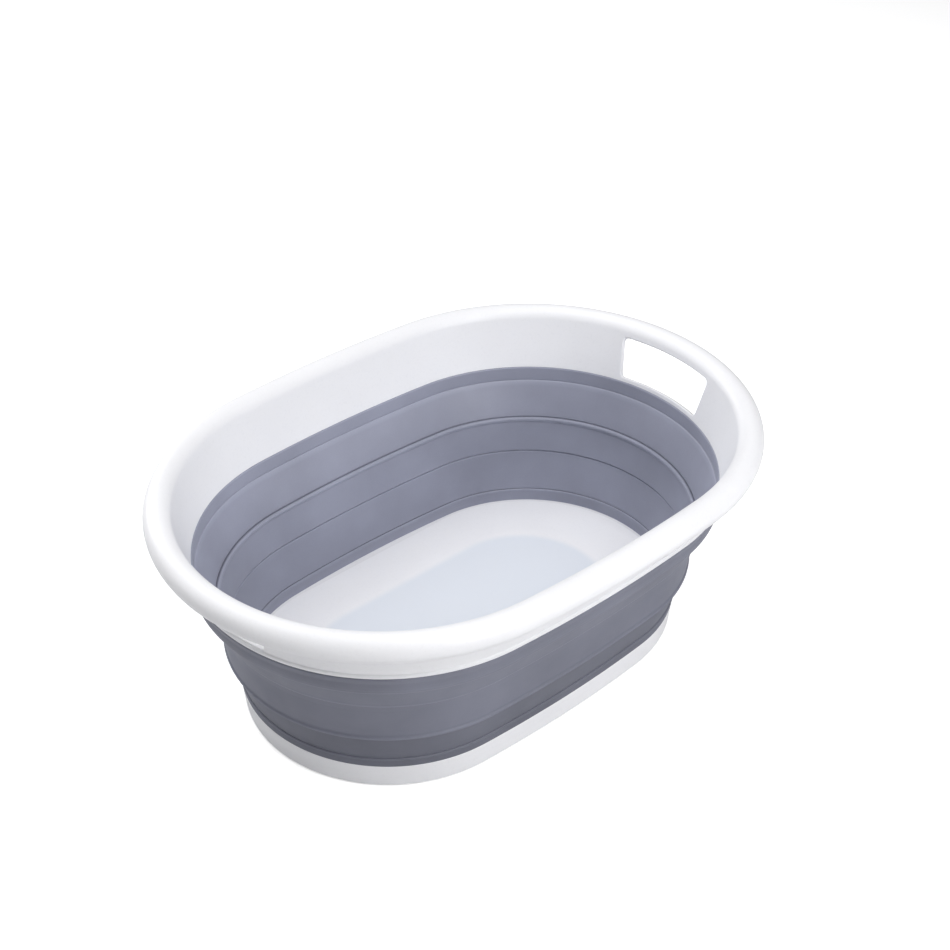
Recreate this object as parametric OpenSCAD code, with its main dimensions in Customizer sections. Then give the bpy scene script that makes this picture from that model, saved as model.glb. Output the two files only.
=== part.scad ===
// Collapsible foot basin: a rigid rolled rim with two handle windows, a
// soft folding wall and a rigid base tray on grip pads.
// Plan view is a near-stadium oval: two end arcs centred on the long axis,
// joined by two very slightly bowed side arcs. Every wall ring is an even
// offset of that oval, so each ring is given by one radius, measured from
// the end-arc centre. Origin: centre of the base, on the ground. +Z is up,
// X is the long axis. Millimetres, basin standing open.

/* [Part] */
// Node to draw, or all of them

/* [Plan shape] */
// Plan factor: the end-arc centres sit 237 mm times this from the middle
plan_factor = 0.35; // [0.3:0.01:0.44]
// Outer end-arc radius of the base skirt at its top edge
foot_radius = 132; // [115:1:150]

/* [Wall heights] */
// Height of the white base skirt above the ground
skirt_top = 24.3; // [20:0.1:28]
// Vertical run of the lower fold band
lower_band_rise = 37.5; // [32:0.5:44]
// Vertical run of the stiff middle ring
ring_rise = 33; // [28:0.5:36]
// Vertical run of the upper fold band
upper_band_rise = 32; // [27:0.5:35]
// Height of the rigid collar from its lower edge to the roll centre
collar_rise = 46.7; // [44:0.1:55]

/* [Wall radii] */
// Radius gained across the lower fold band
lower_band_flare = 9.6; // [8.6:0.1:11]
// Radius gained across the middle ring
ring_flare = 6.4; // [5.4:0.1:7]
// Radius gained across the upper fold band
upper_band_flare = 14.2; // [13:0.1:16]
// Thickness of the two fold bands
band_thickness = 3; // [2.4:0.1:3.4]

/* [Rim] */
// Outside radius of the rolled lip in section
roll_radius = 11.8; // [10:0.1:13]
// Wall of the rolled lip
roll_wall = 2.8; // [2.4:0.1:3.2]
// How far below level the outer edge of the roll curls, in degrees
roll_curl = 48; // [30:1:60]
// Wall of the collar below the roll
collar_wall = 3.4; // [3:0.1:3.8]

/* [Handle windows] */
// Width of each window along its top edge
window_top = 104; // [85:1:110]
// Width of each window along its bottom edge
window_bottom = 94; // [75:1:98]
// Height of each window
window_height = 38.2; // [24:0.1:38.2]
// Corner radius of each window
window_corner = 4; // [3:0.5:8]

/* [Base] */
// Thickness of the floor plate
floor_thickness = 3; // [2.4:0.1:4]
// Depth of the soft-edged well in the middle of the floor
well_depth = 1.2; // [0.6:0.1:1.6]
// Thickness of the stiffening ribs under the floor
rib_thickness = 2.4; // [1.8:0.1:3]
// Diameter of each grip pad
pad_diameter = 24; // [18:1:30]
// How far the grip pads stand below the skirt
pad_stand = 1.5; // [1:0.1:2]

/* [Hidden] */
$fn = 180;
pp_white = [0.95, 0.95, 0.96];
tpr_grey = [0.45, 0.48, 0.56];
pad_grey = [0.40, 0.43, 0.50];

// Plan oval: its four arcs meet on radii set by this right triangle, whose
// whole-number sides keep every joint between arcs exact.
triangle_x = 237;
triangle_y = 3116;
triangle_long = 3125;
end_centre = triangle_x * plan_factor;
side_centre = triangle_y * plan_factor;   // side-arc centre, across the axis
side_reach = triangle_long * plan_factor; // side-arc centre to end-arc centre
side_bow = side_reach - side_centre;

// far end of the shared radius, well outside the basin
joint_length = 2500;
joint = [joint_length * triangle_x / triangle_long,
         joint_length * triangle_y / triangle_long - side_centre];
zone_x = 2600;
zone_bottom = -10;
zone_height = 300;

// Wall heights, bottom to top: 0 is the foot of a band and 1 its top
z_lower0 = skirt_top + 10.7;
z_lower1 = z_lower0 + lower_band_rise;
z_upper0 = z_lower1 + ring_rise;
z_upper1 = z_upper0 + upper_band_rise;
z_collar = z_upper1 + 15.1;               // collar lower edge, outside
z_collar_in = z_collar + 3.0;             // collar lower edge, inside
z_roll = z_collar + collar_rise;          // roll centre
z_join = z_roll - 1.5;                    // collar runs into the roll
z_floor = skirt_top - 2;                  // top of the floor plate
z_well = z_floor - well_depth;
z_under = z_well - floor_thickness;       // underside of the floor plate

// Wall radii; those of the bands are at mid thickness
r_lower0 = foot_radius - 0.8;
r_lower1 = r_lower0 + lower_band_flare;
r_upper0 = r_lower1 + ring_flare;
r_upper1 = r_upper0 + upper_band_flare;
r_collar = r_upper1 + 2.0;                // inside of the collar at its foot
r_roll = r_collar + 22.8;
r_join = r_roll - roll_radius + 0.1;

// Bands: radius gained per unit of height, and half thickness seen level
lower_slope = lower_band_flare_run() / (z_lower1 - z_lower0);
upper_slope = upper_band_flare_run() / (z_upper1 - z_upper0);
lower_half = band_thickness / 2 / cos(atan2(lower_band_flare_run(), z_lower1 - z_lower0));
upper_half = band_thickness / 2 / cos(atan2(upper_band_flare_run(), z_upper1 - z_upper0));
function lower_band_flare_run() = r_lower1 - r_lower0;
function upper_band_flare_run() = r_upper1 - r_upper0;

// Section points [radius, z] where neighbouring pieces meet
lip_drop = 6.9;                           // outer lip of the ring, below the lower band's top
upper_top_in = [r_upper1 - upper_half + upper_slope * 4, z_upper1 + 4];
upper_top_out = [r_upper1 + upper_half - upper_slope * 3.4, z_upper1 - 3.4];
upper_foot_in = [r_upper0 - upper_half + upper_slope * 3.4 + 0.8, z_upper0 + 3.4];
upper_foot_out = [r_upper0 + upper_half + upper_slope * 0.2, z_upper0 + 0.2];
lower_top_in = [r_lower1 - lower_half + 0.8, z_lower1 + 2.2];
lower_top_out = [r_lower1 + lower_half - lower_slope * lip_drop, z_lower1 - lip_drop];
lower_foot_in = [r_lower0 - lower_half + 0.8, z_lower0 + 0.7];
lower_foot_out = [r_lower0 + lower_half - 0.5, z_lower0 - 0.8];

// Stepped tongues that the soft strips are moulded over, [radius, z]
collar_tongue = [[r_collar + 1.5, z_collar_in], [r_collar + 1.5, z_collar - 4.5],
                 [r_collar + 3.2, z_collar - 4.5], [r_collar + 3.2, z_collar]];
tray_tongue = [[foot_radius - 0.6, skirt_top], [foot_radius - 0.6, skirt_top + 6.4],
               [foot_radius - 2.2, skirt_top + 6.4], [foot_radius - 2.2, z_floor + 0.8],
               [foot_radius - 3.4, z_floor + 0.8]];

// points given as [radius, z] steps from one base point
function from(base, steps) = [for (step = steps) base + step];
function reversed(points) = [for (i = [len(points) - 1:-1:0]) points[i]];

// children as they are, and turned half round
module half_turns() {
    for (s = [0, 1]) rotate([0, 0, 180 * s]) children();
}

// plan zones of the arcs: ends outside the shared radii, sides between them
module zone(points) {
    translate([0, 0, zone_bottom]) linear_extrude(height = zone_height) polygon(points);
}
module end_zone() {
    intersection_for (m = [1, -1])
        zone([[0, -side_centre * m], [joint[0], joint[1] * m],
              [zone_x, joint[1] * m], [zone_x, -side_centre * m]]);
}
module side_zone() {
    zone([[0, -side_centre], joint, [-joint[0], joint[1]]]);
}

// sweeps a section around the oval; section x is the end-arc radius
module sweep_ends() {
    half_turns() intersection() {
        translate([end_centre, 0, 0]) rotate_extrude() children();
        end_zone();
    }
}
module sweep_sides() {
    half_turns() intersection() {
        translate([0, -side_centre, 0])
            rotate_extrude($fn = 720) translate([side_reach, 0]) children();
        side_zone();
    }
}
module around() {
    sweep_ends() children();
    sweep_sides() children();
}

// rolled lip section: a curl of even wall, open underneath
module roll_section() {
    centre = [r_roll, z_roll];
    cut = 40; // reach of the opening cut, clear of the roll
    difference() {
        translate(centre) circle(r = roll_radius, $fn = 72);
        translate(centre) circle(r = roll_radius - roll_wall, $fn = 72);
        polygon(from(centre, [
            [0, 0], [cut * cos(roll_curl), -cut * sin(roll_curl)],
            [0, -60], [-cut, -12], [-cut, -1]]));
    }
}

// sloping collar with an outer edge bead and the tongue that keys the strip
module collar_section() {
    polygon(concat(
        [[r_collar, z_collar_in]],
        collar_tongue,
        from([r_collar, z_collar], [[5.3, 0], [5.9, 0.7], [5.9, 2.4], [4.8, 4.0]]),
        [[r_join + collar_wall, z_join - 0.6],
         [r_join + 2.0, z_join + 1.6],
         [r_join + 0.25, z_join + 0.6]]));
}

// outline of one handle window, seen along X: wide at the top
module window_outline() {
    z_edge = z_roll - 1.8; // top edge
    z_top = z_edge - window_corner;
    z_bottom = z_edge - window_height + window_corner;
    // corner centres are set in to allow for the sloping sides
    x_top = window_top / 2 - window_corner * 1.05;
    x_bottom = window_bottom / 2 - window_corner * 0.9;
    centres = [[x_top, z_top], [-x_top, z_top], [-x_bottom, z_bottom], [x_bottom, z_bottom]];
    polygon([for (i = [0:3]) for (a = [0:15:90])
        centres[i] + window_corner * [cos(a + 90 * i), sin(a + 90 * i)]]);
}

module rim_frame() {
    color(pp_white) difference() {
        union() {
            around() roll_section();
            around() collar_section();
        }
        half_turns()
            translate([end_centre + r_collar - 12, 0, 0])
                rotate([90, 0, 90]) linear_extrude(height = 32) window_outline();
    }
}

// soft strip moulded over the collar tongue; thick drip edge outside
module upper_bond_strip() {
    color(tpr_grey) around() polygon(concat(
        [[r_collar, z_collar_in], [r_collar - 0.7, z_collar_in - 1]],
        from([r_collar, z_upper1], [[-1.1, 5.2], [-0.7, 4.5]]),
        [upper_top_in, upper_top_out, [upper_top_out[0] + 1.0, z_upper1 - 4.2]],
        from([r_upper1, z_upper1],
             [[2.6, -4.2], [3.9, -2.4], [4.8, 0.8], [5.2, 4.4], [5.4, 7.8]]),
        from([r_collar, z_collar], [[4.9, -2.6], [4.9, -1.8], [4.5, -1.2], [4.5, 0]]),
        reversed(collar_tongue)));
}

// upper fold band: cone that turns inside out when the basin is pressed flat
module upper_fold_band() {
    color(tpr_grey) around() polygon([
        upper_top_in,
        [r_upper0 - upper_half + upper_slope * 4.4, z_upper0 + 4.4],
        upper_foot_in,
        upper_foot_out,
        [r_upper0 + upper_half + upper_slope * 4.2 - 0.3, z_upper0 + 4.2],
        upper_top_out]);
}

// stiff near-upright ring between the bands, beaded at both edges
module middle_ring() {
    color(tpr_grey) around() polygon(concat(
        [upper_foot_in],
        from([r_upper0 - upper_half, z_upper0],
             [[0.2, 4.0], [-1.4, 3.4], [-1.9, 2.2], [-1.6, 0.9], [-0.5, -0.8]]),
        [[r_lower1 - lower_half - 0.4, z_lower1 + 3.6],
         lower_top_in, lower_top_out, lower_top_out + [1.0, -1.0]],
        from([r_lower1, z_lower1 - lip_drop],
             [[2.4, -1.0], [3.2, 0], [3.2, 1.4], [2.2, 2.6], [2.2, 4.0]]),
        [[r_lower1 + 3.0, z_lower1 + 2], [r_upper0 + 0.2, z_upper0 - 6], upper_foot_out]));
}

// lower fold band: steeper cone, folds up inside the middle ring
module lower_fold_band() {
    color(tpr_grey) around() polygon([
        lower_top_in,
        [r_lower1 - lower_half, z_lower1 + 1.2],
        [r_lower0 - lower_half, z_lower0 + 1.6],
        lower_foot_in,
        lower_foot_out,
        [r_lower0 + lower_half, z_lower0 + 0.2],
        lower_top_out]);
}

// soft strip moulded over the tongue of the base tray, beaded at the top
module lower_bond_strip() {
    color(tpr_grey) around() polygon(concat(
        [lower_foot_in],
        from([r_lower0 - lower_half, z_lower0],
             [[-0.3, 0.9], [-1.0, 0.2], [-1.2, -0.9], [-0.9, -2.2]]),
        reversed(tray_tongue),
        [[foot_radius + 0.2, skirt_top], [foot_radius + 0.3, z_lower0 - 3.6]],
        from([r_lower0 + lower_half, z_lower0], [[0.7, -2.8], [0.8, -1.6], [0.2, -1.0]]),
        [lower_foot_out]));
}

// skirt, tongue and floor in one section; the floor runs in to r_start
module tray_section(r_start) {
    r_skirt_in = foot_radius - 5.4;
    polygon(concat(
        [[r_start, z_under], [r_skirt_in, z_under], [r_skirt_in, pad_stand + 0.6]],
        from([foot_radius, pad_stand], [[-4.8, 0], [-2.6, 0], [-1.8, 0.8]]),
        from([foot_radius, skirt_top], [[0.2, -0.5], [0, 0]]),
        tray_tongue,
        [[foot_radius - 5.2, z_floor], [foot_radius - 53, z_floor],
         [foot_radius - 65, z_well], [r_start, z_well]]));
}

// ribs under the floor: three along X, four along Y
module floor_ribs() {
    z_rib = pad_stand + 1;
    height = z_under - z_rib + 0.4; // runs up into the floor
    half_x = end_centre + foot_radius * 0.86;
    half_y = foot_radius - 5;
    for (y = [-0.42, 0, 0.42])
        translate([-half_x, y * foot_radius - rib_thickness / 2, z_rib])
            cube([2 * half_x, rib_thickness, height]);
    for (x = [-1, -0.34, 0.34, 1])
        translate([x * end_centre - rib_thickness / 2, -half_y, z_rib])
            cube([rib_thickness, 2 * half_y, height]);
}

// children at the four pad places, at height z
module at_pads(z) {
    for (x = [-1, 1]) for (y = [-1, 1])
        translate([x * (end_centre + 34), y * foot_radius * 0.64, z]) children();
}
pad_top = pad_stand + 1.5;

// rigid base tray, with ribs and bosses that hold the pads
module base_tray() {
    color(pp_white) difference() {
        union() {
            sweep_ends() tray_section(0);
            sweep_sides() tray_section(-3 * side_bow); // laps past the long axis
            floor_ribs();
            at_pads(pad_stand)
                cylinder(d = pad_diameter + 5, h = z_under - pad_stand + 0.4, $fn = 60);
        }
        at_pads(-1) cylinder(d = pad_diameter, h = pad_top + 1, $fn = 60);
    }
}

// four soft grip pads pressed into the bosses, tapered at the ground
module foot_pads() {
    taper_height = 1;
    color(pad_grey) at_pads(0) union() {
        cylinder(d1 = pad_diameter - 2.4, d2 = pad_diameter, h = taper_height, $fn = 60);
        translate([0, 0, taper_height])
            cylinder(d = pad_diameter, h = pad_top - taper_height, $fn = 60);
    }
}

rim_frame();
upper_bond_strip();
upper_fold_band();
middle_ring();
lower_fold_band();
lower_bond_strip();
base_tray();
foot_pads();
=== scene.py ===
"""Collapsible oval basin: a white rim and base joined by a soft folding wall.

It stands on z = 0 with its middle on the Z axis and its long axis along X.
Shapes are in millimetres and become metres through MM. Materials, lights and camera are in metres.
Every section is drawn in (r, z): r is the outward offset from the base curve, z the height.
"""
import math

import bmesh
import bpy
import numpy as np
from mathutils import Matrix, Vector


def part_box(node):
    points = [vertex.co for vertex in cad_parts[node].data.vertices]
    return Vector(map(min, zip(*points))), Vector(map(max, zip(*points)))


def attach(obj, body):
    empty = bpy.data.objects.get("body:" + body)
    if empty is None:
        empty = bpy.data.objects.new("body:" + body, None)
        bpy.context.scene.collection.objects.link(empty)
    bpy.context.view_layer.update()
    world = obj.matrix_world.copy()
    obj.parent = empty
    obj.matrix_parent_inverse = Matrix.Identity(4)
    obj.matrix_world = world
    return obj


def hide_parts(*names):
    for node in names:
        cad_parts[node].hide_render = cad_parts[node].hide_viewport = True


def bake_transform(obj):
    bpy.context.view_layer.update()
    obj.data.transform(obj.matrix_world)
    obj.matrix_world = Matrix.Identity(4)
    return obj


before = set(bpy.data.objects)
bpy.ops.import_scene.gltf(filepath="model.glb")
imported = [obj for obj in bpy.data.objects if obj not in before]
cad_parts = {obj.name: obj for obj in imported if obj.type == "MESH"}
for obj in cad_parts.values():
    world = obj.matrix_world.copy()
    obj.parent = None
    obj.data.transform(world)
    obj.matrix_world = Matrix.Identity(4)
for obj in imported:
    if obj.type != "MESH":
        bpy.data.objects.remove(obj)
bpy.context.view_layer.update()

MM = 0.001

# ---------------------------------------------------------------- plan oval
# Two end arcs and two long side arcs meet on the radii of a 237-3116-3125 right triangle.
TRIANGLE_UNIT = 0.35
END_X = 237 * TRIANGLE_UNIT             # centres of the end arcs, at +X and -X
SIDE_CENTRE_Y = 3116 * TRIANGLE_UNIT    # a side arc's centre, across the long axis from it
SIDE_RADIUS = 3125 * TRIANGLE_UNIT      # side arc at offset 0
END_ANGLE = math.atan2(3116, 237)       # half the sweep of an end arc
END_STEPS, SIDE_STEPS = 144, 20


def oval_stations():
    """Rows of (base x, base y, normal x, normal y), counter-clockwise from the +X end arc's start."""
    rows = []
    for s in (1, -1):
        for i in range(END_STEPS):
            t = -END_ANGLE + 2 * END_ANGLE * i / END_STEPS
            rows.append((s * END_X, 0.0, s * math.cos(t), s * math.sin(t)))
        for i in range(SIDE_STEPS):
            t = END_ANGLE + (math.pi - 2 * END_ANGLE) * i / SIDE_STEPS
            x = SIDE_RADIUS * math.cos(t)
            y = SIDE_RADIUS * math.sin(t) - SIDE_CENTRE_Y
            rows.append((s * x, s * y, s * math.cos(t), s * math.sin(t)))
    return np.array(rows)


STATIONS = oval_stations()
STATION_COUNT = len(STATIONS)

# ---------------------------------------------------------------- levels and radii
# LOW and UP are the lower and upper fold bands; 0 is a band's bottom end and 1 its top end.
SKIRT_Z = 24.3                          # top of the base's skirt
FLOOR_Z = SKIRT_Z - 2.0
LOW_Z0 = SKIRT_Z + 10.7
LOW_Z1 = LOW_Z0 + 37.5
UP_Z0 = LOW_Z1 + 33
UP_Z1 = UP_Z0 + 32
COLLAR_OUT_Z = UP_Z1 + 15.1             # collar's bottom, outside and inside
COLLAR_IN_Z = COLLAR_OUT_Z + 3.0
ROLL_Z = COLLAR_OUT_Z + 46.7            # centre of the rim's roll

FOOT_R = 132.0
LOW_R0 = FOOT_R - 0.8
LOW_R1 = LOW_R0 + 9.6
UP_R0 = LOW_R1 + 6.4
UP_R1 = UP_R0 + 14.2
COLLAR_R = UP_R1 + 2
ROLL_R = COLLAR_R + 22.8

LOW_SLOPE = (LOW_R1 - LOW_R0) / (LOW_Z1 - LOW_Z0)
UP_SLOPE = (UP_R1 - UP_R0) / (UP_Z1 - UP_Z0)
HALF_BAND = 1.5                         # half thickness, square to the band
LOW_HALF = HALF_BAND / math.cos(math.atan2(LOW_R1 - LOW_R0, LOW_Z1 - LOW_Z0))
UP_HALF = HALF_BAND / math.cos(math.atan2(UP_R1 - UP_R0, UP_Z1 - UP_Z0))
LOW_IN0, LOW_OUT0 = LOW_R0 - LOW_HALF, LOW_R0 + LOW_HALF
LOW_IN1, LOW_OUT1 = LOW_R1 - LOW_HALF, LOW_R1 + LOW_HALF
UP_IN0, UP_OUT0 = UP_R0 - UP_HALF, UP_R0 + UP_HALF
UP_IN1, UP_OUT1 = UP_R1 - UP_HALF, UP_R1 + UP_HALF

ROLL = 11.8                             # outer radius of the roll's section
ROLL_WALL = 2.8
CURL = math.radians(48.0)               # how far below level the roll ends
RING_LIP = 6.9                          # reach of the middle ring down over the lower band

_, rim_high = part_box("rim_frame")
assert abs(rim_high.x / MM - (END_X + ROLL_R + ROLL)) < 0.6
assert abs(rim_high.z / MM - (ROLL_Z + ROLL)) < 0.6


# ---------------------------------------------------------------- outlines
def arc(centre, radius, start, end, steps):
    """Points of an arc, both ends included; angles in radians."""
    angles = [start + (end - start) * j / steps for j in range(steps + 1)]
    return [np.array(centre) + radius * np.array([math.cos(a), math.sin(a)]) for a in angles]


def shifted(r, z, rows):
    """Rows of (dr, dz, ...) moved to the anchor (r, z)."""
    return [(r + dr, z + dz, *rest) for dr, dz, *rest in rows]


def support_points(a, b, spacing=5.0, inset=0.45):
    """Points along a straight run from a to b, the ends left out."""
    length = float(np.linalg.norm(b - a))
    if length < 2.2:
        return []
    edge = inset / length
    steps = max(1, int(length / spacing))
    return [a + (b - a) * (edge + (1 - 2 * edge) * j / steps) for j in range(steps + 1)]


def rounded(rows):
    """Closed outline from rows of (r, z, fillet radius); a row without a fillet is a sharp corner."""
    corners = [np.array(row[:2], float) for row in rows]
    count = len(corners)
    arcs = []
    for i, corner in enumerate(corners):
        fillet = rows[i][2] if len(rows[i]) > 2 else 0.0
        back = corners[i - 1] - corner
        ahead = corners[(i + 1) % count] - corner
        back_length, ahead_length = np.linalg.norm(back), np.linalg.norm(ahead)
        back, ahead = back / back_length, ahead / ahead_length
        angle = math.acos(max(-1, min(1, float(back @ ahead))))
        if fillet <= 0 or angle > math.pi - 0.03:
            arcs.append([corner])
            continue
        # a fillet takes less than half of each side, so neighbours never overlap
        cut = min(fillet / math.tan(angle / 2), back_length * 0.46, ahead_length * 0.46)
        fillet = cut * math.tan(angle / 2)
        middle = (back + ahead) / np.linalg.norm(back + ahead)
        centre = corner + middle * (fillet / math.sin(angle / 2))
        start = math.atan2(*(corner + back * cut - centre)[::-1])
        end = math.atan2(*(corner + ahead * cut - centre)[::-1])
        turn = (end - start + math.pi) % (2 * math.pi) - math.pi
        steps = max(2, math.ceil(abs(turn) / math.radians(22)))
        arcs.append(arc(centre, fillet, start, start + turn, steps))
    outline = []
    for i in range(count):
        outline += arcs[i]
        outline += support_points(arcs[i][-1], arcs[(i + 1) % count][0])
    return outline


# ---------------------------------------------------------------- mesh building
def swept_points(profile):
    """Points in metres, indexed by profile point and then by station."""
    points = np.zeros((len(profile), STATION_COUNT, 3))
    for row, (r, z) in zip(points, profile):
        row[:, :2] = STATIONS[:, :2] + r * STATIONS[:, 2:]
        row[:, 2] = z
    return points * MM


def bridge(bm, ring, other):
    """Faces between two closed rings of vertices; either ring may be a single point."""
    count = max(len(ring), len(other))
    for k in range(count):
        q = (k + 1) % count
        if len(ring) == 1:
            bm.faces.new((ring[0], other[k], other[q]))
        elif len(other) == 1:
            bm.faces.new((ring[k], ring[q], other[0]))
        else:
            bm.faces.new((ring[k], ring[q], other[q], other[k]))


def swept_mesh(profile, closed):
    """Mesh of a profile swept right round the oval, and its rings of vertices."""
    bm = bmesh.new()
    rings = [[bm.verts.new(p) for p in row] for row in swept_points(profile)]
    followers = rings[1:] + rings[:1] if closed else rings[1:]
    for ring, other in zip(rings, followers):
        bridge(bm, ring, other)
    return bm, rings


def finish_mesh(bm, name):
    """Merge, orient and smooth the mesh and link it as an object."""
    bmesh.ops.remove_doubles(bm, verts=bm.verts, dist=2e-6)
    bmesh.ops.recalc_face_normals(bm, faces=bm.faces)
    mesh = bpy.data.meshes.new(name)
    bm.to_mesh(mesh)
    bm.free()
    mesh.polygons.foreach_set("use_smooth", [True] * len(mesh.polygons))
    obj = bpy.data.objects.new(name, mesh)
    bpy.context.scene.collection.objects.link(obj)
    return obj


def dress(obj, material, part, replaces=None):
    """Give an object its material, the part it moves with and the CAD piece it stands for."""
    obj.data.materials.append(material)
    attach(obj, part)
    if replaces:
        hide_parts(replaces)


# ---------------------------------------------------------------- shader nodes
class Nodes:
    """Short calls that add linked nodes to one node tree."""

    def __init__(self, tree):
        self.tree = tree

    def fill(self, node, inputs):
        """Link each input to a socket, or set its value; colours are given as RGB."""
        for key, value in inputs.items():
            socket = node.inputs[key]
            if isinstance(value, bpy.types.NodeSocket):
                self.tree.links.new(value, socket)
            else:
                socket.default_value = (*value, 1) if socket.type == "RGBA" else value
        return node

    def add(self, kind, inputs=None, **settings):
        node = self.tree.nodes.new("ShaderNode" + kind)
        for key, value in settings.items():
            setattr(node, key, value)
        return self.fill(node, inputs or {})

    def surface(self, inputs):
        return self.fill(self.tree.nodes["Principled BSDF"], inputs)

    def noise(self, scale, detail=2.0, rough=0.5):
        inputs = {"Scale": scale, "Detail": detail, "Roughness": rough, "Vector": self.place}
        return self.add("TexNoise", inputs).outputs["Fac"]

    def ramp(self, value, *stops):
        """Colour ramp between two stops of (position, colour)."""
        node = self.add("ValToRGB", {"Fac": value})
        for element, (position, colour) in zip(node.color_ramp.elements, stops):
            element.position = position
            element.color = (*colour, 1)
        return node.outputs["Color"]

    def remap(self, value, span, to, curve="LINEAR"):
        """Map the range span onto the range to, clamped."""
        inputs = {"Value": value, "From Min": span[0], "From Max": span[1],
                  "To Min": to[0], "To Max": to[1]}
        return self.add("MapRange", inputs, interpolation_type=curve).outputs["Result"]

    def mix(self, factor, a, b, mode="MIX"):
        # inputs 6 and 7 are the node's two colours
        return self.add("Mix", data_type="RGBA", blend_type=mode, inputs={
            0: factor, 6: a, 7: b}).outputs[2]

    def math(self, operation, *values):
        return self.add("Math", dict(enumerate(values)), operation=operation).outputs[0]

    def xyz(self, vector):
        return self.add("SeparateXYZ", {0: vector}).outputs

    def bump(self, *layers):
        """Chain of bumps from layers of (height socket, strength, distance in metres)."""
        normal = None
        for height, strength, distance in layers:
            inputs = {"Strength": strength, "Distance": distance, "Height": height}
            if normal is not None:
                inputs["Normal"] = normal
            normal = self.add("Bump", inputs).outputs["Normal"]
        self.surface({"Normal": normal})

    def oval_distance(self, half):
        """Distance from the middle line of length 2 * half along X, and the height; in metres."""
        x, y, z = self.xyz(self.place)
        past_end = self.math("SUBTRACT", self.math("ABSOLUTE", x), half)
        dx = self.math("MAXIMUM", past_end, 0.0)
        dy = self.math("ABSOLUTE", y)
        total = self.math("ADD", self.math("MULTIPLY", dx, dx), self.math("MULTIPLY", dy, dy))
        return self.math("SQRT", total), z


def new_material(name):
    """A material and its nodes, with object coordinates as their place."""
    material = bpy.data.materials.new(name)
    material.use_nodes = True
    nodes = Nodes(material.node_tree)
    nodes.place = nodes.add("TexCoord").outputs["Object"]
    return material, nodes


def scaled(colour, factor):
    return tuple(c * factor for c in colour)


# ---------------------------------------------------------------- materials
def white_plastic(name, lift=1.0, floor=False):
    """Hard white plastic, lightened by lift; floor adds a darker, bluer well and painted light on the
    floor's inner face.
    """
    material, nodes = new_material(name)
    colour = nodes.ramp(nodes.noise(scale=9.0, detail=3.0),
                        (0.35, scaled((0.79, 0.792, 0.815), lift)),
                        (0.65, scaled((0.82, 0.822, 0.845), lift)))
    specks = nodes.ramp(nodes.noise(scale=420.0, rough=0.6),
                        (0.30, (0.95, 0.95, 0.955)), (0.46, (1, 1, 1)))
    colour = nodes.mix(0.5, colour, specks, mode="MULTIPLY")
    rough = nodes.remap(nodes.noise(scale=30.0, detail=3.0), span=(0.3, 0.7), to=(0.34, 0.46))
    layers = [(nodes.noise(scale=1400.0), 0.10, 0.0002), (nodes.noise(scale=60.0), 0.05, 0.0006)]
    if floor:
        # darker and bluer over the floor's middle
        distance, height = nodes.oval_distance(half=0.0745)
        well = nodes.remap(distance, span=(0.0725, 0.0815), to=(1.0, 0.0), curve="SMOOTHSTEP")
        # keeps the well's colour and the painted light off the underside
        above = nodes.remap(height, span=(0.0196, 0.0202), to=(0.0, 1.0))
        colour = nodes.mix(nodes.math("MULTIPLY", well, above), colour, (0.75, 0.785, 0.84))
        layers.insert(0, (nodes.noise(scale=260.0, detail=1.0), 0.08, 0.0004))
        # painted light: the floor's inner face is lifted a little lighter than the skirt
        distance, _ = nodes.oval_distance(half=END_X * MM)
        inside = nodes.remap(distance, span=(0.1262, 0.1268), to=(1.0, 0.0))
        colour = nodes.mix(nodes.math("MULTIPLY", inside, above), colour,
                           (1.085, 1.085, 1.085), mode="MULTIPLY")
    nodes.surface({
        "Base Color": colour,
        "Roughness": rough,
        "IOR": 1.49,
        "Subsurface Weight": 0.12,
        "Subsurface Radius": (1.0, 0.95, 0.9),
        "Subsurface Scale": 0.003,
    })
    nodes.bump(*layers)
    return material


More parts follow.
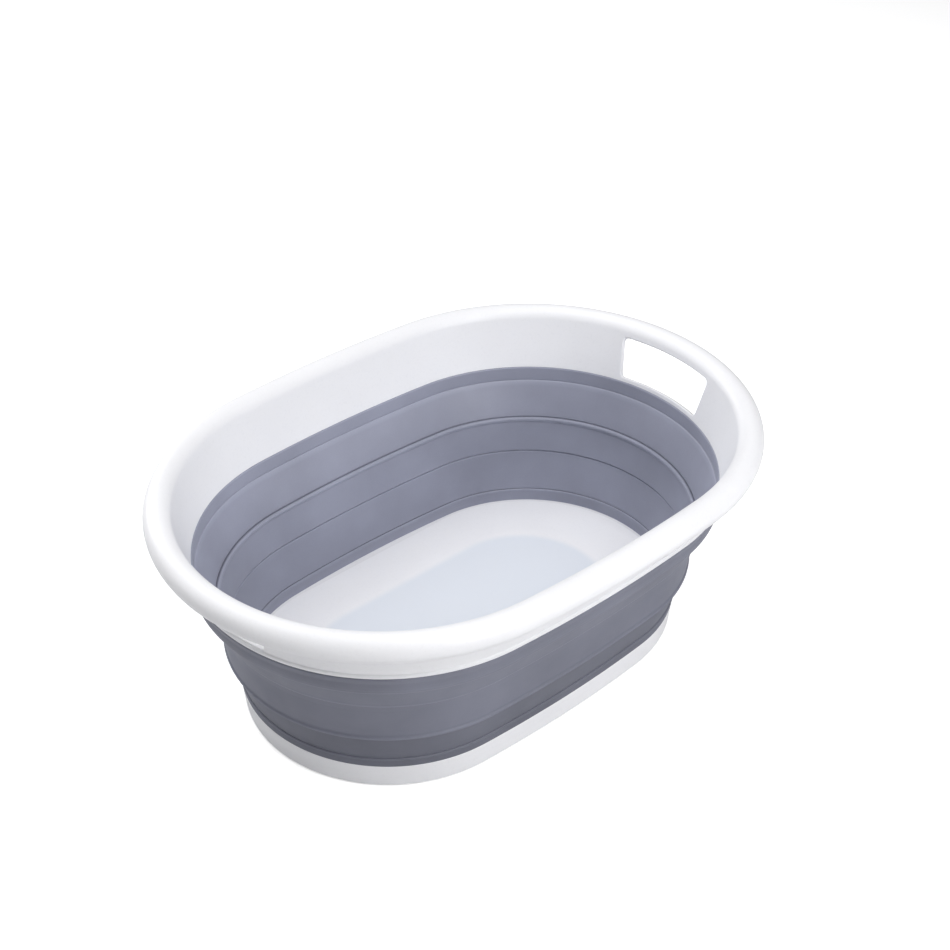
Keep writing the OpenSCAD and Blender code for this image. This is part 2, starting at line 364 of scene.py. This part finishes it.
def soft_plastic(name, base=(0.290, 0.302, 0.378), outer=0.58):
    """Soft grey plastic; its outward face is more matte, and darker by the factor outer, which is
    painted shade.
    """
    material, nodes = new_material(name)
    colour = nodes.ramp(nodes.noise(scale=12.0, detail=4.0),
                        (0.32, scaled(base, 0.90)), (0.68, scaled(base, 1.10)))
    # lighter on the crests, and painted shade darkening the creases; both from curvature
    geometry = nodes.add("NewGeometry").outputs
    crest = nodes.remap(geometry["Pointiness"], span=(0.505, 0.56), to=(0.0, 0.35))
    colour = nodes.mix(crest, colour, scaled(base, 1.9))
    crease_shade = nodes.remap(geometry["Pointiness"], span=(0.495, 0.44), to=(0.0, 0.35))
    colour = nodes.mix(crease_shade, colour, scaled(base, 0.55))
    grain = nodes.noise(scale=900.0, detail=3.0, rough=0.65)
    grain_tint = nodes.ramp(grain, (0.3, (0.86, 0.86, 0.87)), (0.7, (1, 1, 1)))
    colour = nodes.mix(0.35, colour, grain_tint, mode="MULTIPLY")
    # how far the face looks away from the oval's middle line
    x, y, _ = nodes.xyz(nodes.place)
    normal_x, normal_y, _ = nodes.xyz(geometry["Normal"])
    on_line = nodes.math("MINIMUM", nodes.math("MAXIMUM", x, -END_X * MM), END_X * MM)
    out_x = nodes.math("SUBTRACT", x, on_line)
    away = nodes.math("ADD", nodes.math("MULTIPLY", out_x, normal_x),
                      nodes.math("MULTIPLY", y, normal_y))
    outside = nodes.remap(away, span=(-0.02, 0.05), to=(0.0, 1.0))
    # painted shade: outward faces darkened by the factor outer, as if turned from the light
    colour = nodes.mix(outside, colour, (outer, outer, outer * 1.01), mode="MULTIPLY")
    patchy = nodes.remap(nodes.noise(scale=40.0, detail=3.0), span=(0.3, 0.7), to=(0.44, 0.56))
    nodes.surface({
        "Base Color": colour,
        "Roughness": nodes.math("ADD", patchy, nodes.math("MULTIPLY", outside, 0.12)),
        "IOR": 1.5,
        "Sheen Weight": 0.12,
        "Sheen Roughness": 0.5,
        "Sheen Tint": (0.85, 0.88, 1.0),
    })
    nodes.bump((grain, 0.22, 0.0003), (nodes.noise(scale=75.0), 0.06, 0.0012))
    return material


RIM_WHITE = white_plastic("white_pp")
BASE_WHITE = white_plastic("white_pp_base", lift=1.05, floor=True)
WALL_GREY = soft_plastic("soft_tpr")
LOW_WALL_SHADED_GREY = soft_plastic("soft_tpr_low_shaded", outer=0.45)      # painted shade: its outside is the darkest
PAD_GREY = soft_plastic("pad_tpr", base=(0.21, 0.225, 0.28))

# ---------------------------------------------------------------- rim
# The collar's inner line leans out from its bottom edge and runs tangent into the roll.
IN_BOTTOM = np.array([COLLAR_R, COLLAR_IN_Z])
TO_ROLL = np.array([ROLL_R, ROLL_Z]) - IN_BOTTOM
LEAN = math.atan2(TO_ROLL[0], TO_ROLL[1]) - math.asin(ROLL / np.linalg.norm(TO_ROLL))
IN_TOP = np.array([ROLL_R - ROLL * math.cos(LEAN), ROLL_Z + ROLL * math.sin(LEAN)])
OUT_BOTTOM = np.array([COLLAR_R + 4.8, COLLAR_OUT_Z + 4.0])
OUT_TOP = np.array([ROLL_R - ROLL + ROLL_WALL + 0.55, ROLL_Z - 1.6])

# Each collar face, "in" and "out": its line, and the heights (bottom, top) of patch and window.
FACE_LINE = {"in": (IN_BOTTOM, IN_TOP), "out": (OUT_BOTTOM, OUT_TOP)}
PATCH_Z = {"in": (COLLAR_IN_Z + 1.6, ROLL_Z + 1.4), "out": (COLLAR_OUT_Z + 4.3, ROLL_Z - 1.9)}
WINDOW_Z = {"in": (COLLAR_IN_Z + 4.1, ROLL_Z - 1.3), "out": (COLLAR_OUT_Z + 5.9, ROLL_Z - 3.6)}
PATCH_ROWS = 9
PATCH_HALF = 18                         # half the patch's width, in stations
PATCH_RINGS = 4                         # rings of faces from the patch's border to the window

WINDOW_TOP, WINDOW_BOTTOM = 104.0, 94.0     # widths
WINDOW_CORNER = 3.6
WINDOW_EDGE = 0.8                       # rounding between the collar's faces and the opening

# Bead along the collar's lower outer edge, as (dr, dz) from (COLLAR_R, COLLAR_OUT_Z).
BEAD = [
    (4.9, 3.85), (5.2, 3.6), (5.6, 3.1), (5.85, 2.4), (5.92, 1.8), (5.92, 1.1), (5.82, 0.6),
    (5.55, 0.2), (5.15, 0.02)]
# Underside and tongue below the bead, back to the inner face, from the same anchor.
TONGUE = [
    (4.4, 0), (3.2, 0), (3.2, -2.3), (3.2, -4.5), (2.4, -4.5), (1.5, -4.5), (1.5, -1), (1.5, 3.0)]


def on_face(side, z):
    """Point (r, z) of a collar face's line at height z."""
    a, b = FACE_LINE[side]
    return a + (b - a) * ((z - a[1]) / (b[1] - a[1]))


def patch_rows(side, start, end):
    return [on_face(side, start + (end - start) * k / PATCH_ROWS) for k in range(PATCH_ROWS + 1)]


def rim_profile():
    """The rim's closed section, and where the inner and outer patch rows start in it."""
    roll = (ROLL_R, ROLL_Z)
    # bottom inner corner, up the inside
    points = arc((COLLAR_R + 0.62, COLLAR_IN_Z + 0.55), 0.55, math.radians(250), math.pi - LEAN, 4)
    points.append(on_face("in", COLLAR_IN_Z + 1.0))
    inner_start = len(points)
    low, high = PATCH_Z["in"]
    points += patch_rows("in", low, high)
    points.append(on_face("in", (high + IN_TOP[1]) / 2))
    # over the roll, round its lip end, and back along its underside
    points += arc(roll, ROLL, math.pi - LEAN, -CURL, 40)
    lip = ROLL_WALL / 2
    lip_centre = (ROLL_R + (ROLL - lip) * math.cos(CURL), ROLL_Z - (ROLL - lip) * math.sin(CURL))
    points += arc(lip_centre, lip, -CURL, -CURL - math.pi, 6)[1:-1]
    points += arc(roll, ROLL - ROLL_WALL, -CURL, math.radians(183), 36)
    # down the outside
    outer_start = len(points)
    low, high = PATCH_Z["out"]
    points += patch_rows("out", high, low)
    points.append(on_face("out", COLLAR_OUT_Z + 4.05))
    points += shifted(COLLAR_R, COLLAR_OUT_Z, BEAD + TONGUE)
    return points, inner_start, outer_start


def window_outline(side, grow):
    """Rounded trapezoid grown by grow, as (y, z), counter-clockwise from its lower -Y corner.

    It has as many points per side as the patch border, from corner middle to corner middle.
    """
    bottom, top = WINDOW_Z[side]
    radius = WINDOW_CORNER + grow
    low_y, low_z = WINDOW_BOTTOM / 2 - WINDOW_CORNER * 0.95, bottom + WINDOW_CORNER
    high_y, high_z = WINDOW_TOP / 2 - WINDOW_CORNER, top - WINDOW_CORNER
    slope = math.atan2((WINDOW_TOP - WINDOW_BOTTOM) / 2, top - bottom)
    corners = [
        arc((-low_y, low_z), radius, math.pi + slope, 1.5 * math.pi, 12),
        arc((low_y, low_z), radius, 1.5 * math.pi, 2 * math.pi - slope, 12),
        arc((high_y, high_z), radius, -slope, 0.5 * math.pi, 12),
        arc((-high_y, high_z), radius, 0.5 * math.pi, math.pi + slope, 12)]
    # (points, crowding towards the corners) of the bottom or top, then of an upright side
    spacings = ((2 * PATCH_HALF, 0.105), (PATCH_ROWS, 0.03))
    outline = []
    for i in range(4):
        path = np.array(corners[i][6:] + corners[(i + 1) % 4][:7])
        along = np.r_[0, np.cumsum(np.linalg.norm(np.diff(path, axis=0), axis=1))]
        count, crowding = spacings[i % 2]
        share = np.arange(count) / count
        stops = (share - crowding * np.sin(2 * math.pi * share)) * along[-1]
        outline += [(float(np.interp(stop, along, path[:, 0])),
                     float(np.interp(stop, along, path[:, 1]))) for stop in stops]
    return outline


def cut_window(bm, end, borders):
    """Line one window and patch the collar round it; end is 1 at +X and -1 at -X.

    borders holds the patch border's vertices on each face, in the order of window_outline.
    """
    def place(x, y, z):
        return bm.verts.new((end * x * MM, end * y * MM, z * MM))

    def angle_height(vertex):
        x, y, z = (c / MM for c in vertex.co)
        return math.atan2(end * y, end * x - END_X), z

    def opening(side, grow, depth):
        ring = []
        for y, z in window_outline(side, grow):
            r = on_face(side, z)[0]
            ring.append(place(END_X + math.sqrt(r * r - y * y) + depth, y, z))
        return ring

    rounding = [(WINDOW_EDGE * (1 - math.sin(t)), WINDOW_EDGE * (1 - math.cos(t)))
                for t in map(math.radians, (0, 30, 60, 90))]
    lining = [opening("in", grow, depth) for grow, depth in rounding]
    lining += [opening("out", grow, -depth) for grow, depth in reversed(rounding)]
    for ring, other in zip(lining, lining[1:]):
        bridge(bm, ring, other)

    for side, edge in (("in", lining[0]), ("out", lining[-1])):
        outer = [angle_height(vertex) for vertex in borders[side]]
        inner = [angle_height(vertex) for vertex in edge]
        ring = borders[side]
        for k in range(1, PATCH_RINGS):
            t = 1 - (1 - k / PATCH_RINGS) ** 1.5
            middle = []
            for (angle0, z0), (angle1, z1) in zip(outer, inner):
                angle, z = angle0 + (angle1 - angle0) * t, z0 + (z1 - z0) * t
                r = on_face(side, z)[0]
                middle.append(place(END_X + r * math.cos(angle), r * math.sin(angle), z))
            bridge(bm, ring, middle)
            ring = middle
        bridge(bm, ring, edge)


def build_rim():
    """Collar and roll, with a window at the middle of each end."""
    profile, inner_start, outer_start = rim_profile()
    points = swept_points(profile)
    count = len(profile)
    bm = bmesh.new()
    made = {}

    def vertex(i, j):
        key = i % count, j % STATION_COUNT
        if key not in made:
            made[key] = bm.verts.new(points[key])
        return made[key]

    plus_x = END_STEPS // 2
    windows = ((plus_x, 1), (plus_x + END_STEPS + SIDE_STEPS, -1))
    open_rows = {start + k for start in (inner_start, outer_start) for k in range(PATCH_ROWS)}
    open_columns = {centre + k for centre, _ in windows for k in range(-PATCH_HALF, PATCH_HALF)}
    for i in range(count):
        for j in range(STATION_COUNT):
            if not (i in open_rows and j in open_columns):
                bm.faces.new((vertex(i, j), vertex(i, j + 1),
                              vertex(i + 1, j + 1), vertex(i + 1, j)))

    # patch rows from the bottom up; the outer face's run downwards in the profile
    rows = {"in": [inner_start + k for k in range(PATCH_ROWS + 1)],
            "out": [outer_start + PATCH_ROWS - k for k in range(PATCH_ROWS + 1)]}
    for centre, end in windows:
        columns = list(range(centre - PATCH_HALF, centre + PATCH_HALF + 1))
        borders = {}
        for side, up in rows.items():
            borders[side] = ([vertex(up[0], j) for j in columns[:-1]]
                             + [vertex(i, columns[-1]) for i in up[:-1]]
                             + [vertex(up[-1], j) for j in reversed(columns[1:])]
                             + [vertex(i, columns[0]) for i in reversed(up[1:])])
        cut_window(bm, end, borders)
    return finish_mesh(bm, "rim_shell")


dress(build_rim(), RIM_WHITE, part="rim", replaces="rim_frame")

# ---------------------------------------------------------------- soft wall
# Seams where neighbouring sections meet, from the top down: inner and outer point of each.
STRIP_UP_IN = (UP_IN1 + UP_SLOPE * 4, UP_Z1 + 4)
STRIP_UP_OUT = (UP_OUT1 - UP_SLOPE * 3.4, UP_Z1 - 3.4)
UP_RING_IN = (UP_IN0 + UP_SLOPE * 3.4 + 0.8, UP_Z0 + 3.4)
UP_RING_OUT = (UP_OUT0 + UP_SLOPE * 0.2, UP_Z0 + 0.2)
RING_LOW_IN = (LOW_IN1 + 0.8, LOW_Z1 + 2.2)
RING_LOW_OUT = (LOW_OUT1 - LOW_SLOPE * RING_LIP, LOW_Z1 - RING_LIP)
LOW_STRIP_IN = (LOW_IN0 + 0.8, LOW_Z0 + 0.7)
LOW_STRIP_OUT = (LOW_OUT0 - 0.5, LOW_Z0 - 0.8)

# Rows of (r, z, fillet radius), or (dr, dz, fillet radius) inside shifted().
WALL_SECTIONS = {
    "upper_strip": [
        *shifted(COLLAR_R, COLLAR_IN_Z, [(0, 0, 0.35), (-0.7, -0.9, 0.45)]),
        *shifted(COLLAR_R, UP_Z1, [(-1.1, 5.2, 0.4), (-0.65, 4.4, 0.2)]),
        STRIP_UP_IN,
        STRIP_UP_OUT,
        (STRIP_UP_OUT[0] + 1.0, UP_Z1 - 4.2, 0.4),
        *shifted(UP_R1, UP_Z1, [
            (2.6, -4.3, 0.7), (3.9, -2.5, 1.6), (4.8, 0.8, 3.0), (5.25, 4.4, 3.0),
            (5.35, 7.8, 5.0)]),
        *shifted(COLLAR_R, COLLAR_OUT_Z, [
            (4.95, -2.6, 0.8), (4.95, -1.7, 0.5), (4.5, -1.1, 0.3), (4.5, 0), (3.2, 0),
            (3.2, -4.5), (1.5, -4.5), (1.5, 3.0)]),
    ],
    "upper_band": [
        STRIP_UP_IN,
        (UP_IN0 + UP_SLOPE * 4.4, UP_Z0 + 4.4, 0.5),
        UP_RING_IN,
        UP_RING_OUT,
        (UP_OUT0 + UP_SLOPE * 4.2 - 0.3, UP_Z0 + 4.2, 8.0),
        STRIP_UP_OUT,
    ],
    "ring": [
        UP_RING_IN,
        *shifted(UP_IN0, UP_Z0, [
            (0.25, 4.0, 0.35), (-1.3, 3.7, 0.7), (-2.0, 2.5, 0.8), (-1.7, 0.9, 0.9),
            (-0.5, -1.0, 1.6)]),
        (LOW_IN1 - 0.5, LOW_Z1 + 3.7, 0.5),
        RING_LOW_IN,
        RING_LOW_OUT,
        (RING_LOW_OUT[0] + 0.9, LOW_Z1 - RING_LIP - 1.0, 0.35),
        *shifted(LOW_R1, LOW_Z1 - RING_LIP, [
            (2.5, -1.05, 0.6), (3.3, 0, 0.7), (3.3, 1.4, 0.6), (2.15, 2.5, 0.5),
            (2.15, 4.0, 1.2)]),
        (LOW_R1 + 3.0, LOW_Z1 + 2, 5.0),
        (UP_R0 + 0.2, UP_Z0 - 6, 12.0),
        UP_RING_OUT,
    ],
    "lower_band": [
        RING_LOW_IN,
        (LOW_IN1 + 0.15, LOW_Z1 + 0.3, 0.8),
        (LOW_IN0, LOW_Z0 + 1.6, 0.5),
        LOW_STRIP_IN,
        LOW_STRIP_OUT,
        (LOW_OUT0, LOW_Z0 + 0.2, 0.5),
        RING_LOW_OUT,
    ],
    "lower_strip": [
        LOW_STRIP_IN,
        *shifted(LOW_IN0, LOW_Z0, [
            (-0.3, 0.95, 0.35), (-1.05, 0.3, 0.5), (-1.25, -0.9, 0.7), (-0.9, -2.4, 1.0)]),
        *shifted(FOOT_R, FLOOR_Z, [(-3.4, 0.8), (-2.2, 0.8)]),
        *shifted(FOOT_R, SKIRT_Z, [(-2.2, 6.4), (-0.6, 6.4), (-0.6, 0), (0.15, 0, 0.25)]),
        (FOOT_R + 0.25, LOW_Z0 - 3.8, 0.6),
        *shifted(LOW_OUT0, LOW_Z0, [(0.65, -2.9, 0.6), (0.85, -1.6, 0.6), (0.2, -0.9, 0.3)]),
        LOW_STRIP_OUT,
    ],
}

wall = {}
for name, section in WALL_SECTIONS.items():
    bm, _ = swept_mesh(rounded(section), closed=True)
    wall[name] = finish_mesh(bm, "soft_" + name)
    wall[name].data.materials.append(LOW_WALL_SHADED_GREY if name.startswith("lower") else WALL_GREY)

for name, part, cad_piece in (("upper_strip", "rim", "upper_bond_strip"),
                              ("ring", "ring", "middle_ring"),
                              ("lower_strip", "base", "lower_bond_strip")):
    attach(wall[name], part)
    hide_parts(cad_piece)
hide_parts("upper_fold_band")
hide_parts("lower_fold_band")
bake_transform(wall["upper_band"])
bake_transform(wall["lower_band"])

# ---------------------------------------------------------------- base tray
DISH = 1.2                              # how far the floor's middle lies below its edge
FLOOR_THICKNESS = 3.0
UNDER_Z = FLOOR_Z - DISH - FLOOR_THICKNESS
PAD_CENTRES = [(x * (END_X + 34), y * FOOT_R * 0.64) for x in (-1, 1) for y in (-1, 1)]

# Parts of the tray's section, as (dr, dz) from FOOT_R and the height named.
FLOOR_EDGE = [                          # from FLOOR_Z
    (-35, 0), (-20, 0), (-10, 0), (-7, 0), (-5.6, 0.04), (-4.9, 0.16), (-4.2, 0.42),
    (-3.75, 0.72), (-3.5, 0.8), (-2.8, 0.8), (-2.2, 0.8)]
SKIRT_TOP = [                           # from SKIRT_Z
    (-2.2, 0), (-2.2, 6.3), (-1.4, 6.4), (-0.6, 6.3), (-0.6, 0), (-0.2, 0), (0.05, -0.08),
    (0.2, -0.3), (0.2, -0.8), (0.1, -2.0)]
SKIRT_FOOT = [                          # from z = 0
    (-0.52, 16.0), (-1.2, 8.6), (-1.57, 4.6), (-1.72, 2.9), (-1.8, 2.3), (-2.0, 1.8),
    (-2.5, 1.55), (-3.1, 1.5), (-4.2, 1.5), (-4.7, 1.6), (-5.1, 1.9), (-5.3, 2.4)]
UNDERSIDE = [                           # from UNDER_Z
    (-5.4, -0.8), (-5.7, -0.3), (-6.4, 0), (-12, 0), (-30, 0), (-70, 0)]


def build_base():
    """Tray floor and skirt, from the middle of the floor round to the middle of its underside."""
    dish_edge = [(FOOT_R - 68 + 18 * t / 9, FLOOR_Z - DISH * (1 - (t / 9) ** 2 * (3 - 2 * t / 9)))
                 for t in range(10)]
    profile = [
        *[(r, FLOOR_Z - DISH) for r in (0, 20, 45)],
        *dish_edge,
        *shifted(FOOT_R, FLOOR_Z, FLOOR_EDGE),
        *shifted(FOOT_R, SKIRT_Z, SKIRT_TOP),
        *shifted(FOOT_R, 0, SKIRT_FOOT),
        *shifted(FOOT_R, UNDER_Z, UNDERSIDE),
        (20, UNDER_Z), (0, UNDER_Z)]
    bm, rings = swept_mesh(profile, closed=False)
    # close the thin lens left along the middle, at the floor's two faces
    first_side = END_STEPS
    for ring in (rings[0], rings[-1]):
        for k in range(SIDE_STEPS):
            bm.faces.new((ring[first_side + k], ring[first_side + k + 1],
                          ring[STATION_COUNT - k - 1], ring[(STATION_COUNT - k) % STATION_COUNT]))
    bmesh.ops.remove_doubles(bm, verts=bm.verts, dist=2e-6)
    bmesh.ops.dissolve_degenerate(bm, edges=bm.edges, dist=1e-6)
    return finish_mesh(bm, "base_shell")


def add_box(bm, low, high, bevel=0.5):
    verts = bmesh.ops.create_cube(bm, size=1.0)["verts"]
    for vert in verts:
        vert.co = Vector([(low[k] + high[k]) / 2 + vert.co[k] * (high[k] - low[k])
                          for k in range(3)]) * MM
    edges = {edge for vert in verts for edge in vert.link_edges}
    bmesh.ops.bevel(bm, geom=list(edges), offset=bevel * MM, segments=2, profile=0.5,
                    affect="EDGES")


def build_ribs():
    """Three lengthwise and four crosswise ribs under the floor."""
    half, low_z, high_z = 1.2, 2.5, UNDER_Z + 0.4
    reach_x, reach_y = END_X + FOOT_R * 0.86, FOOT_R - 6.5
    bm = bmesh.new()
    for share in (-0.42, 0.0, 0.42):
        y = share * FOOT_R
        add_box(bm, (-reach_x, y - half, low_z), (reach_x, y + half, high_z))
    for share in (-1, -0.34, 0.34, 1):
        x = share * END_X
        add_box(bm, (x - half, -reach_y, low_z), (x + half, reach_y, high_z))
    return finish_mesh(bm, "base_ribs")


def turned_at_pads(name, profile, segments=64):
    """A solid of revolution at each pad centre; the (radius, z) profile has both ends on the axis."""
    bm = bmesh.new()
    angles = [2 * math.pi * k / segments for k in range(segments)]
    for centre_x, centre_y in PAD_CENTRES:
        rings = []
        for radius, z in profile:
            rings.append([bm.verts.new(((centre_x + radius * math.cos(a)) * MM,
                                        (centre_y + radius * math.sin(a)) * MM, z * MM))
                          for a in (angles if radius else angles[:1])])
        for ring, other in zip(rings, rings[1:]):
            bridge(bm, ring, other)
    return finish_mesh(bm, name)


BOSS = [
    (0, 3.0), (11.4, 3.0), (12.0, 3.0), (12.0, 2.6), (12.0, 1.75), (12.25, 1.5), (13.9, 1.5),
    (14.3, 1.65), (14.5, 2.0), (14.5, 3.2), (14.5, UNDER_Z + 0.2), (13.5, UNDER_Z + 0.3),
    (0, UNDER_Z + 0.3)]
# Disc with two shallow ring grooves in its underside, round a recessed middle.
PAD = [
    (0, 0.35), (2.0, 0.35), (2.6, 0.28), (3.0, 0.02), (3.4, 0.0), (4.6, 0.0), (5.0, 0.02),
    (5.4, 0.3), (6.0, 0.35), (6.6, 0.3), (7.0, 0.02), (7.4, 0.0), (9.6, 0.0), (10.6, 0.05),
    (11.2, 0.35), (11.6, 0.8), (11.85, 1.2), (11.95, 2.0), (11.95, 2.7), (11.6, 2.98), (0, 2.98)]

dress(build_base(), BASE_WHITE, part="base", replaces="base_tray")
dress(build_ribs(), BASE_WHITE, part="base")
dress(turned_at_pads("base_pad_bosses", BOSS), BASE_WHITE, part="base")
dress(turned_at_pads("grip_pads", PAD), PAD_GREY, part="base",
      replaces="foot_pads")


# ---------------------------------------------------------------- floor and world
def ground_material():
    """Bright floor for the camera; all other rays meet a duller one, which bounces less light."""
    bounce = 0.76
    material, nodes = new_material("floor_mat")
    colour = nodes.ramp(nodes.noise(scale=2.0), (0.3, (0.93, 0.93, 0.935)),
                        (0.7, (0.95, 0.95, 0.953)))
    seen = nodes.surface({
        "Base Color": colour,
        "Roughness": 0.9,
        "Specular IOR Level": 0.1,
        "Emission Color": (0.995, 0.995, 1),
        "Emission Strength": 0.46,      # lit right out to its corners
    })
    rays = nodes.add("LightPath")
    dull = nodes.add("BsdfDiffuse", {"Color": (bounce, bounce, bounce * 1.01)})
    mixed = nodes.add("MixShader", {
        0: rays.outputs["Is Camera Ray"], 1: dull.outputs[0], 2: seen.outputs[0]})
    nodes.fill(nodes.tree.nodes["Material Output"], {"Surface": mixed.outputs[0]})
    return material


bm = bmesh.new()
bmesh.ops.create_grid(bm, x_segments=2, y_segments=2, size=6.0)
ground = finish_mesh(bm, "floor")
ground.data.materials.append(ground_material())
ground.location.z = -0.0002             # just clear of the pads


def build_world():
    """Pale backdrop for the camera that gives little light to anything else."""
    world = bpy.data.worlds.new("studio")
    bpy.context.scene.world = world
    world.use_nodes = True
    nodes = Nodes(world.node_tree)
    camera_ray = nodes.add("LightPath").outputs["Is Camera Ray"]
    nodes.fill(world.node_tree.nodes["Background"], {
        "Color": (0.985, 0.985, 1.0),
        "Strength": nodes.remap(camera_ray, span=(0.0, 1.0), to=(0.06, 0.93))})


build_world()

# ---------------------------------------------------------------- lights
LIGHT_TARGET = Vector((0, 0, 0.1))
LIGHT_DISTANCE = 2.2
# level directions as the camera sees them: to its right, and towards it
RIGHT = Vector((0.747, -0.665, 0))
NEAR = Vector((-0.665, -0.747, 0))


def area_light(name, location, size, power):
    """Rectangular light of size (width, height), aimed at the basin."""
    light = bpy.data.lights.new(name, "AREA")
    light.shape = "RECTANGLE"
    light.size, light.size_y = size
    light.energy = power
    obj = bpy.data.objects.new(name, light)
    bpy.context.scene.collection.objects.link(obj)
    obj.location = location
    obj.rotation_euler = (LIGHT_TARGET - location).to_track_quat("-Z", "Y").to_euler()


def softbox(name, toward, elevation, size, power):
    """Area light out along the level direction toward, raised by elevation degrees."""
    angle = math.radians(elevation)
    ray = toward * math.cos(angle) + Vector((0, 0, math.sin(angle)))
    area_light(name, ray * LIGHT_DISTANCE + LIGHT_TARGET, size, power)


# (place, level direction, power of the high box, power of the low box)
SOFTBOXES = (
    ("back_left", (-RIGHT - NEAR).normalized(), 11.0, 17.0),
    ("front_right", (RIGHT + NEAR).normalized(), 20.0, 20.5),
    ("left", -RIGHT, 8.0, 5.5))
for place, toward, high_power, low_power in SOFTBOXES:
    softbox(place + "_high", toward, elevation=50, size=(1.2, 1.2), power=high_power)
    softbox(place + "_low", toward, elevation=20, size=(1.4, 0.6), power=low_power)
area_light("top", Vector((0, 0, 2.4)), size=(1.8, 1.8), power=20.5)

# ---------------------------------------------------------------- camera
CAMERA_DISTANCE = 1.51551855            # from the orbit point
ORBIT_Z = 0.06375                       # height of the orbit point, on the Z axis
AZIMUTH = math.radians(-41.7005)        # from -Y; negative is towards -X
ELEVATION = math.radians(38.9339)
CAMERA_ROLL = math.radians(0.0358)
# turn away from the orbit point, after the roll
PAN_RIGHT = math.radians(0.38498814)
TILT_UP = math.radians(3.67004296)
SENSOR_WIDTH, LENS = 36.0, 64.4210526


def turned(a, b, angle):
    """The axes a and b, with a turned towards b by angle."""
    c, s = math.cos(angle), math.sin(angle)
    return c * a + s * b, c * b - s * a


def build_camera():
    level = math.cos(ELEVATION)
    back = np.array([math.sin(AZIMUTH) * level, -math.cos(AZIMUTH) * level, math.sin(ELEVATION)])
    position = back * CAMERA_DISTANCE + np.array([0, 0, ORBIT_Z])
    forward = -back
    right = np.cross(forward, [0, 0, 1.0])
    right /= np.linalg.norm(right)
    up = np.cross(right, forward)
    right, up = turned(right, up, CAMERA_ROLL)
    forward, right = turned(forward, right, PAN_RIGHT)
    forward, up = turned(forward, up, TILT_UP)

    camera = bpy.data.cameras.new("cam")
    camera.sensor_width = SENSOR_WIDTH
    camera.lens = LENS
    camera.clip_end = 50
    obj = bpy.data.objects.new("cam", camera)
    bpy.context.scene.collection.objects.link(obj)
    axes = np.column_stack((right, up, -forward, position))
    obj.matrix_world = Matrix([*axes.tolist(), [0, 0, 0, 1]])
    bpy.context.scene.camera = obj


build_camera()
bpy.context.scene.view_settings.view_transform = "Standard"
bpy.context.scene.view_settings.look = "None"
